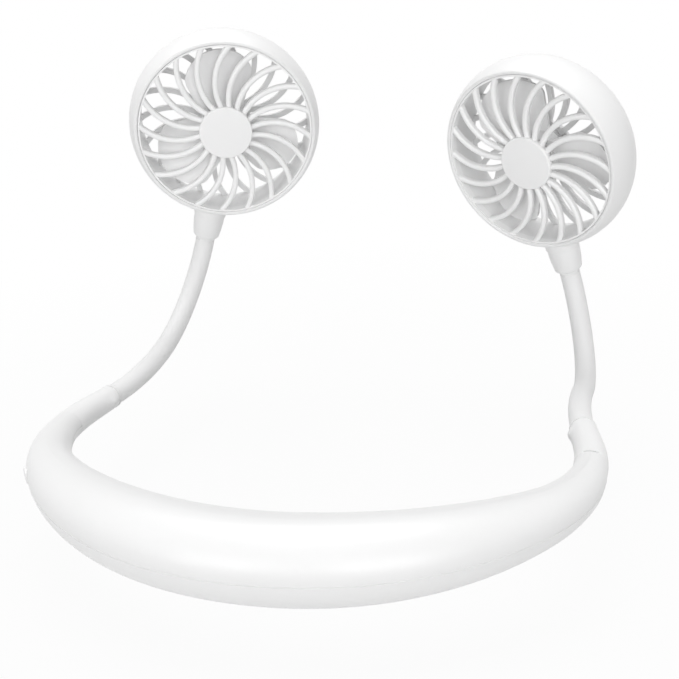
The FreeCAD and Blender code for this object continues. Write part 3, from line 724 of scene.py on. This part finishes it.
def make_collars():
    """Full-bellied cups with a flange at the barrel and a rounded lower rim that the sleeve goes into."""
    depth = FLANGE_END - BARREL_CORE + FLANGE_RADIUS
    for side in SIDE_WAYS:
        collar = start_piece(f"{side}_collar_cup", bpy.ops.mesh.primitive_cylinder_add, vertices=COLLAR_SIDES,
                             radius=FLANGE_RADIUS * MM, depth=depth * MM,
                             location=(0, (depth / 2 - FLANGE_END) * MM, 0),
                             rotation=(math.radians(90), 0, 0))
        pick_faces(collar, lambda centre, normal: normal.y < -FLAT)
        round_over(FLANGE_ROUND, 3)
        pick_faces(collar, lambda centre, normal: normal.y < -FLAT)
        radius, last = FLANGE_RADIUS - FLANGE_ROUND, FLANGE_END
        for wide, distance in COLLAR_CUP:
            if distance > last:
                pull((0, last - distance, 0))
            else:
                inset(COLLAR_STEP)
            share = wide / radius
            bpy.ops.transform.resize(value=(share, 1, share), center_override=(0, -distance * MM, 0))
            radius, last = wide, distance
        round_over(COLLAR_ROUND, 6)
        pick_faces(collar, lambda centre, normal: normal.y < -FLAT and centre.y < RIM_REACH - last)
        inset(radius - COLLAR_ROUND - COLLAR_MOUTH)
        pull((0, COLLAR_BORE, 0))
        core = start_piece("barrel_core", bpy.ops.mesh.primitive_cylinder_add, vertices=BARREL_SIDES,
                           radius=BARREL_CORE * MM, depth=BARREL_CORE_DEPTH * MM)
        cut_with(collar, core)
        finish_piece(collar, barrel_white, SOFT_ANGLE)
        set_in_place(collar, frame_at(*HEADS[side]))
        carry(collar, f"{side}_head", "white_shell", f"{side}_head_collar")


def pan_screw(name, sizes):
    """Pan-head screw along +Z, its head's seat at zero and a cross recess in the head."""
    head_radius, head_height, shank_radius, shank_length = sizes
    screw = start_piece(name, bpy.ops.mesh.primitive_cylinder_add, vertices=SCREW_SIDES,
                        radius=head_radius * MM, depth=head_height * MM,
                        location=(0, 0, head_height / 2 * MM))
    pick_faces(screw, top_face(0))
    round_over(head_height * SCREW_ROUND_SHARE, 5)
    pick_faces(screw, foot_face(head_height / 2))
    inset(head_radius - shank_radius)
    pull((0, 0, -shank_length))
    tip_width, tip_depth = SCREW_TIP_SHARES
    inset(shank_radius * tip_width, shank_radius * tip_depth)
    length, width, depth = RECESS_SHARES
    for turn in (0, 90):
        bar = start_piece("recess_bar", bpy.ops.mesh.primitive_cube_add, size=MM,
                          location=(0, 0, head_height * MM), rotation=(0, 0, math.radians(turn)),
                          scale=(head_radius * length, head_radius * width, head_height * depth))
        pick_faces(bar, foot_face(head_height))
        bpy.ops.transform.resize(value=(RECESS_FOOT_SHARE, RECESS_FOOT_SHARE, 1), center_override=(0, 0, 0))
        cut_with(screw, bar)
    finish_piece(screw, screw_steel, CRISP_ANGLE)
    return screw


def make_screws():
    """Five screws that close the shells from below, and two behind each motor."""
    pattern = pan_screw("shell_screw", SHELL_SCREW)
    for number, station in enumerate(SCREW_STATIONS, 1):
        seat = band_at(station)[0] + UP * SHELL_SCREW_SEAT
        screw = copy_to(pattern, f"shell_screw_{number}", frame_at(seat, -UP, ACROSS))
        carry(screw, "neckband", "screw_steel", "shell_screws")
    bpy.data.objects.remove(pattern)
    pattern = pan_screw("motor_screw", MOTOR_SCREW)
    for side in SIDE_WAYS:
        centre, front, across = HEADS[side]
        for number, way in enumerate((1, -1), 1):
            seat = centre - front * HEAD_BACK + across * way * MOTOR_SCREW_CIRCLE
            screw = copy_to(pattern, f"{side}_motor_screw_{number}", frame_at(seat, -front, across))
            carry(screw, f"{side}_head", "screw_steel", f"{side}_motor_screws")
    bpy.data.objects.remove(pattern)


def make_button():
    """Round push button with a dished face, a flange behind the wall and a stem to the switch."""
    low, high = BUTTON_FLANGE_ENDS
    button = start_piece("push_button", bpy.ops.mesh.primitive_cylinder_add, vertices=BUTTON_SIDES,
                         radius=BUTTON_FLANGE_RADIUS * MM, depth=(high - low) * MM,
                         location=(0, 0, (high + low) / 2 * MM))
    pick_faces(button, foot_face(high))
    inset(BUTTON_FLANGE_RADIUS - BUTTON_STEM_RADIUS)
    pull((0, 0, BUTTON_STEM_FOOT - low))
    pick_faces(button, top_face(low))
    inset(BUTTON_FLANGE_RADIUS - BUTTON_RADIUS)
    pull((0, 0, BUTTON_TOP - high))
    round_over(BUTTON_ROUND, 6)
    pick_faces(button, top_face(BUTTON_TOP - RIM_REACH))
    ring = (BUTTON_RADIUS - BUTTON_ROUND) / (len(BUTTON_DISH_SHARES) + 1)
    for share in BUTTON_DISH_SHARES:
        inset(ring, -BUTTON_DISH * share)
    finish_piece(button, shell_white, SOFT_ANGLE)
    place, _, outward = band_at(BUTTON_STATION)
    set_in_place(button, frame_at(place, outward, UP))
    carry(button, "power_button", "white_shell", "power_button")


def make_lens():
    """Small diffuser with a domed face beside the button."""
    low, high = LENS_ENDS
    lens = start_piece("charge_lamp", bpy.ops.mesh.primitive_cylinder_add, vertices=LENS_SIDES,
                       radius=LENS_RADIUS * MM, depth=(high - low) * MM,
                       location=(0, 0, (low + high) / 2 * MM))
    pick_faces(lens, top_face(low))
    round_over(LENS_RADIUS * LENS_DOME_SHARE, 6)
    pick_faces(lens, foot_face(high))
    inset(LENS_RADIUS * LENS_FOOT_SHARE, -LENS_FOOT_DENT)
    finish_piece(lens, lens_milky, DOME_ANGLE)
    place, _, outward = band_at(LENS_STATION)
    set_in_place(lens, frame_at(place, outward, UP))
    carry(lens, "neckband", "lens_clear", "indicator_lens")


def round_uprights(piece, radius):
    """Rounds the upright edges of a block."""
    bpy.ops.object.mode_set(mode="EDIT")
    bpy.ops.mesh.select_mode(type="EDGE")
    bpy.ops.mesh.select_all(action="DESELECT")
    mesh = bmesh.from_edit_mesh(piece.data)
    for edge in mesh.edges:
        low, high = (vertex.co for vertex in edge.verts)
        edge.select_set(abs((high - low).normalized().z) > FLAT)
    bmesh.update_edit_mesh(piece.data)
    round_over(radius, 8)


def make_socket():
    """Charging socket: a pressed shell with an oval mouth that faces down, and the contact tongue inside."""
    place, along, _ = band_at(SOCKET_STATION)
    low, high = SOCKET_ENDS
    length, width = SOCKET_SIZE
    shell = start_piece("port_shell", bpy.ops.mesh.primitive_cube_add, size=MM,
                        location=(0, 0, (low + high) / 2 * MM), scale=(length, width, high - low))
    pick_faces(shell, lambda centre, normal: True)
    round_over(SOCKET_ROUND, 2)
    mouth = start_piece("mouth_core", bpy.ops.mesh.primitive_cube_add, size=MM,
                        location=(0, 0, ((low + high) / 2 - SOCKET_WALL) * MM),
                        scale=(length - 2 * SOCKET_WALL, width - 2 * SOCKET_WALL, high - low))
    round_uprights(mouth, width / 2 - SOCKET_WALL - MOUTH_FLAT)
    cut_with(shell, mouth)
    finish_piece(shell, socket_steel, CRISP_ANGLE)
    set_in_place(shell, frame_at(place, UP, along))
    carry(shell, "neckband", "socket_steel", "usb_socket")
    tongue_length, tongue_width, tongue_depth = TONGUE_SIZE
    root = high - SOCKET_WALL
    tongue = start_piece("port_tongue", bpy.ops.mesh.primitive_cube_add, size=MM,
                         location=(0, 0, (root - tongue_depth / 2) * MM),
                         scale=(tongue_length, tongue_width, tongue_depth))
    pick_faces(tongue, foot_face(root))
    bpy.ops.transform.resize(value=(*TONGUE_TIP_SHARES, 1), center_override=(0, 0, 0))
    round_over(TONGUE_ROUND, 3)
    finish_piece(tongue, switch_black, CRISP_ANGLE)
    set_in_place(tongue, frame_at(place, UP, along))
    carry(tongue, "neckband", "switch_black")


def place_camera():
    """Camera at the photograph's place."""
    bpy.ops.object.camera_add()
    camera = bpy.context.object
    camera.name = "photo_camera"
    back = CAMERA_RIGHT.cross(CAMERA_UP)
    turn = Matrix((CAMERA_RIGHT, CAMERA_UP, back)).transposed()
    camera.matrix_world = Matrix.Translation(CAMERA_PLACE * MM) @ turn.to_4x4()
    camera.data.sensor_width = CAMERA_SENSOR
    camera.data.lens = CAMERA_LENS
    camera.data.clip_start = CAMERA_NEAR * MM
    bpy.context.scene.camera = camera


def backdrop_rays(tree):
    """1 for the rays that should see plain white, 0 for the rays that carry light."""
    rays = add(tree, "LightPath")
    seen = add(tree, "Math", ((0, rays.outputs["Is Camera Ray"]), (1, rays.outputs["Is Glossy Ray"])),
               operation="MAXIMUM")
    return add(tree, "Math", ((0, seen.outputs[0]), (1, rays.outputs["Is Transmission Ray"])),
               operation="MAXIMUM").outputs[0]


def light_world(below, above):
    """Even studio light, stronger from above than from below, behind a plain white backdrop."""
    world = bpy.data.worlds.new("studio_white")
    bpy.context.scene.world = world
    world.use_nodes = True
    tree = world.node_tree
    tree.nodes.clear()
    place = add(tree, "TexCoord").outputs["Generated"]
    height = add(tree, "SeparateXYZ", (("Vector", place),)).outputs["Z"]
    level = add(tree, "MapRange", (("Value", height), ("From Min", -1.0), ("From Max", 1.0),
                                   ("To Min", below), ("To Max", above))).outputs["Result"]
    light = add(tree, "Background", (("Color", (1, 1, 1, 1)), ("Strength", level)))
    white = add(tree, "Background", (("Color", (1, 1, 1, 1)), ("Strength", 1.0)))
    mix = add(tree, "MixShader", ((0, backdrop_rays(tree)), (1, light.outputs[0]), (2, white.outputs[0])))
    add(tree, "OutputWorld", (("Surface", mix.outputs[0]),))


def softbox(name, place, target, size, power):
    """Square studio lamp that looks at a target."""
    bpy.ops.object.light_add(type="AREA", location=Vector(place) * MM)
    lamp = bpy.context.object
    lamp.name = name
    lamp.data.shape = "SQUARE"
    lamp.data.size = size * MM
    lamp.data.energy = power
    lamp.rotation_euler = (Vector(target) - Vector(place)).to_track_quat("-Z", "Y").to_euler()


def lay_floor():
    """White paper under the fan: it keeps the fan's shadow and fades into the backdrop further out."""
    floor = start_piece("studio_floor", bpy.ops.mesh.primitive_plane_add, size=FLOOR_SIZE * MM,
                        location=(0, 0, FLOOR_HEIGHT * MM))
    material = bpy.data.materials.new("floor_paper_white")
    material.use_nodes = True
    tree = material.node_tree
    tree.nodes.clear()
    paper = add(tree, "BsdfDiffuse", (("Color", linear("#c8c8c8")),))
    white = add(tree, "Emission", (("Color", (1, 1, 1, 1)), ("Strength", 1.0)))
    place = add(tree, "TexCoord").outputs["Object"]
    away = add(tree, "VectorMath", ((0, place),), operation="LENGTH").outputs["Value"]
    near, far = FLOOR_FADE
    fade = add(tree, "MapRange", (("Value", away), ("From Min", near * MM), ("From Max", far * MM),
                                  ("To Min", FLOOR_WHITE_SHARES[0]),
                                  ("To Max", FLOOR_WHITE_SHARES[1]))).outputs["Result"]
    share = add(tree, "Math", ((0, backdrop_rays(tree)), (1, fade)), operation="MULTIPLY")
    seen = add(tree, "MixShader", ((0, share.outputs[0]), (1, paper.outputs[0]), (2, white.outputs[0])))
    clear = add(tree, "BsdfTransparent")
    side = add(tree, "NewGeometry").outputs["Backfacing"]
    mix = add(tree, "MixShader", ((0, side), (1, seen.outputs[0]), (2, clear.outputs[0])))
    add(tree, "OutputMaterial", (("Surface", mix.outputs[0]),))
    floor.data.materials.append(material)


place_camera()
dress_cad_nodes()
make_boots()
make_sleeves()
make_hub_caps()
make_collars()
make_screws()
make_button()
make_lens()
make_socket()
light_world(*WORLD_LEVELS)
for lamp_name, lamp_values in SOFTBOXES.items():
    softbox(lamp_name, *lamp_values)
lay_floor()
bpy.context.scene.view_settings.view_transform = "Standard"
